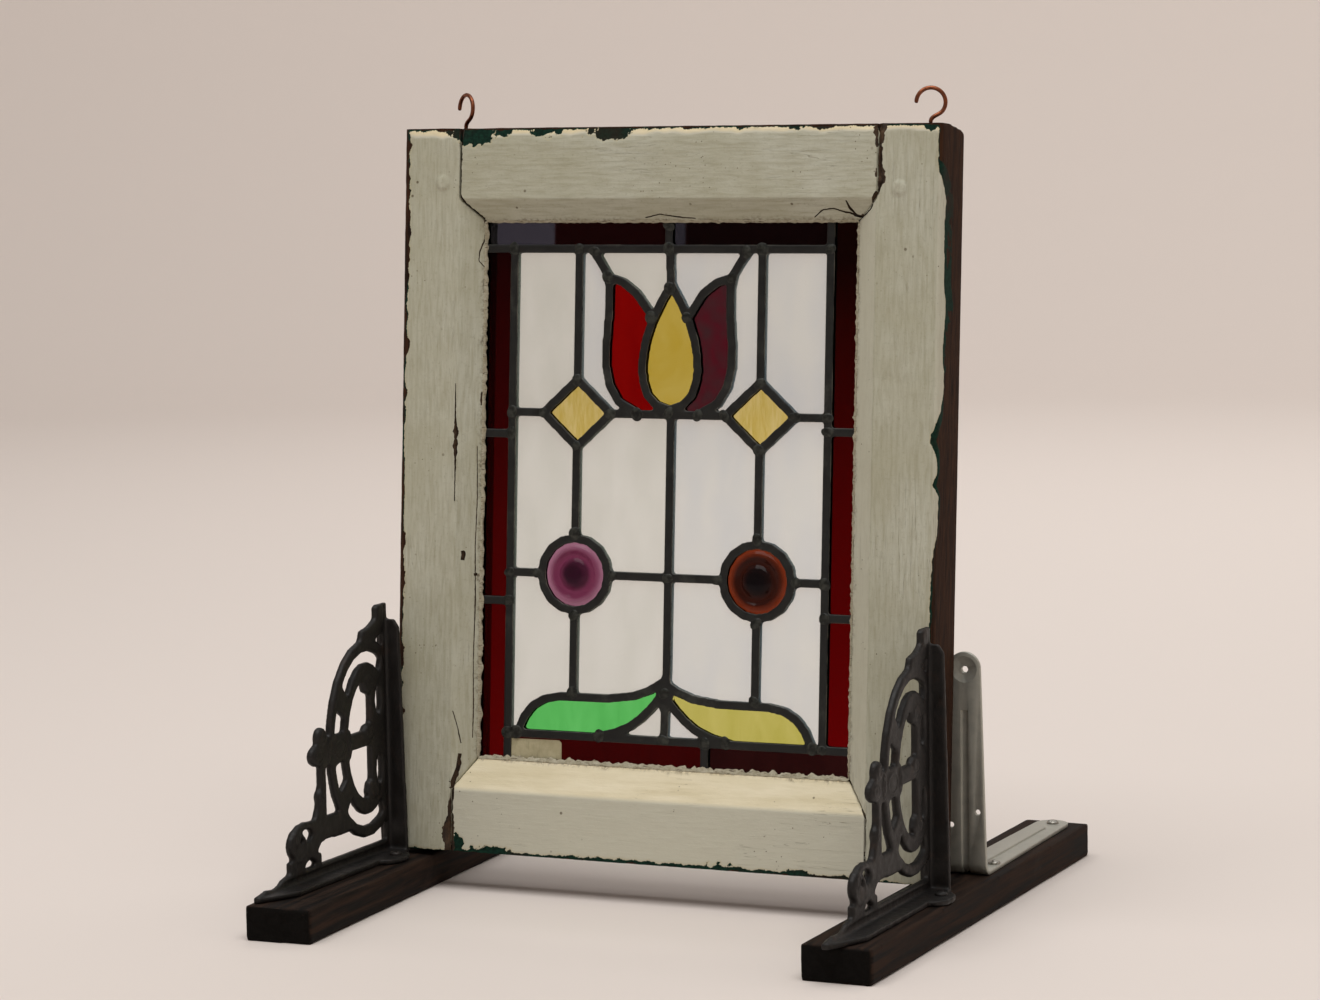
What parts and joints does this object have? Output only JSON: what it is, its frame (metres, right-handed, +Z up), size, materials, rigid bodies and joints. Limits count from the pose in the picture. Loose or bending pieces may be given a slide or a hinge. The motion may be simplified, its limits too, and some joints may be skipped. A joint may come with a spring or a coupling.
{
  "type": "stained glass window",
  "caption": "Small leaded glass window in a painted timber sash with wire hooks, leaning on a stand of timber feet with openwork iron and pressed steel brackets.",
  "frame": {"origin": "under the middle of the whole part, on the surface the feet stand on", "axes": "+Z up, +X to the right as seen from the front, +Y towards the back; the window faces -Y and leans back"},
  "size_m": [0.4832, 0.474, 0.5864],
  "materials": {
    "painted_timber": "old off-white paint, crazed and flaking over dark green paint and brown wood",
    "lead": "dull dark grey oxidised lead with solder joints",
    "clear_glass": "clear drawn glass",
    "red_glass": "deep red cathedral glass",
    "bright_red_glass": "bright red glass",
    "plum_glass": "dark plum streaky glass",
    "ochre_glass": "streaky ochre yellow glass",
    "green_glass": "green glass",
    "yellow_green_glass": "yellow green glass",
    "purple_glass": "pressed purple roundel",
    "amber_glass": "pressed dark amber roundel",
    "putty": "old linseed putty, grey and cracked",
    "paper": "aged paper sticker, bare",
    "copper_wire": "browned copper wire",
    "stained_timber": "black stained open-grained softwood",
    "cast_iron": "black painted cast iron, worn brown on its edges",
    "pressed_steel": "grey painted pressed steel, slightly glossy",
    "screw_steel": "plated steel screw head"
  },
  "bodies": {
    "root": {"stile_left": "painted_timber", "stile_right": "painted_timber", "rail_top": "painted_timber", "rail_bottom": "painted_timber", "lead_cames": "lead", "glazing_putty": "putty", "paper_label": "paper", "border_left_lower": "red_glass", "border_left_middle": "red_glass", "border_left_upper": "red_glass", "border_top_left": "red_glass", "border_top_right": "red_glass", "border_right_upper": "red_glass", "border_right_middle": "red_glass", "border_right_lower": "red_glass", "border_bottom_left": "red_glass", "border_bottom_right": "plum_glass", "clear_top_left": "clear_glass", "clear_top_right": "clear_glass", "clear_upper_left": "clear_glass", "clear_upper_right": "clear_glass", "clear_tulip_left": "clear_glass", "clear_tulip_right": "clear_glass", "clear_middle_outer_left": "clear_glass", "clear_middle_outer_right": "clear_glass", "clear_middle_inner_left": "clear_glass", "clear_middle_inner_right": "clear_glass", "clear_lower_outer_left": "clear_glass", "clear_lower_outer_right": "clear_glass", "clear_lower_inner_left": "clear_glass", "clear_lower_inner_right": "clear_glass", "clear_foot_left": "clear_glass", "clear_foot_right": "clear_glass", "petal_left": "bright_red_glass", "petal_centre": "ochre_glass", "petal_right": "plum_glass", "leaf_left": "green_glass", "leaf_right": "yellow_green_glass", "diamond_left": "ochre_glass", "diamond_right": "ochre_glass", "roundel_left": "purple_glass", "roundel_right": "amber_glass", "hook_left": "copper_wire", "foot_left": "stained_timber", "iron_bracket_left": "cast_iron", "steel_bracket_left": "pressed_steel", "screw_iron_left": "screw_steel", "screw_steel_left_front": "screw_steel", "screw_steel_left_back": "screw_steel", "hook_right": "copper_wire", "foot_right": "stained_timber", "iron_bracket_right": "cast_iron", "steel_bracket_right": "pressed_steel", "screw_iron_right": "screw_steel", "screw_steel_right_front": "screw_steel", "screw_steel_right_back": "screw_steel"}
  },
  "joints": []
}
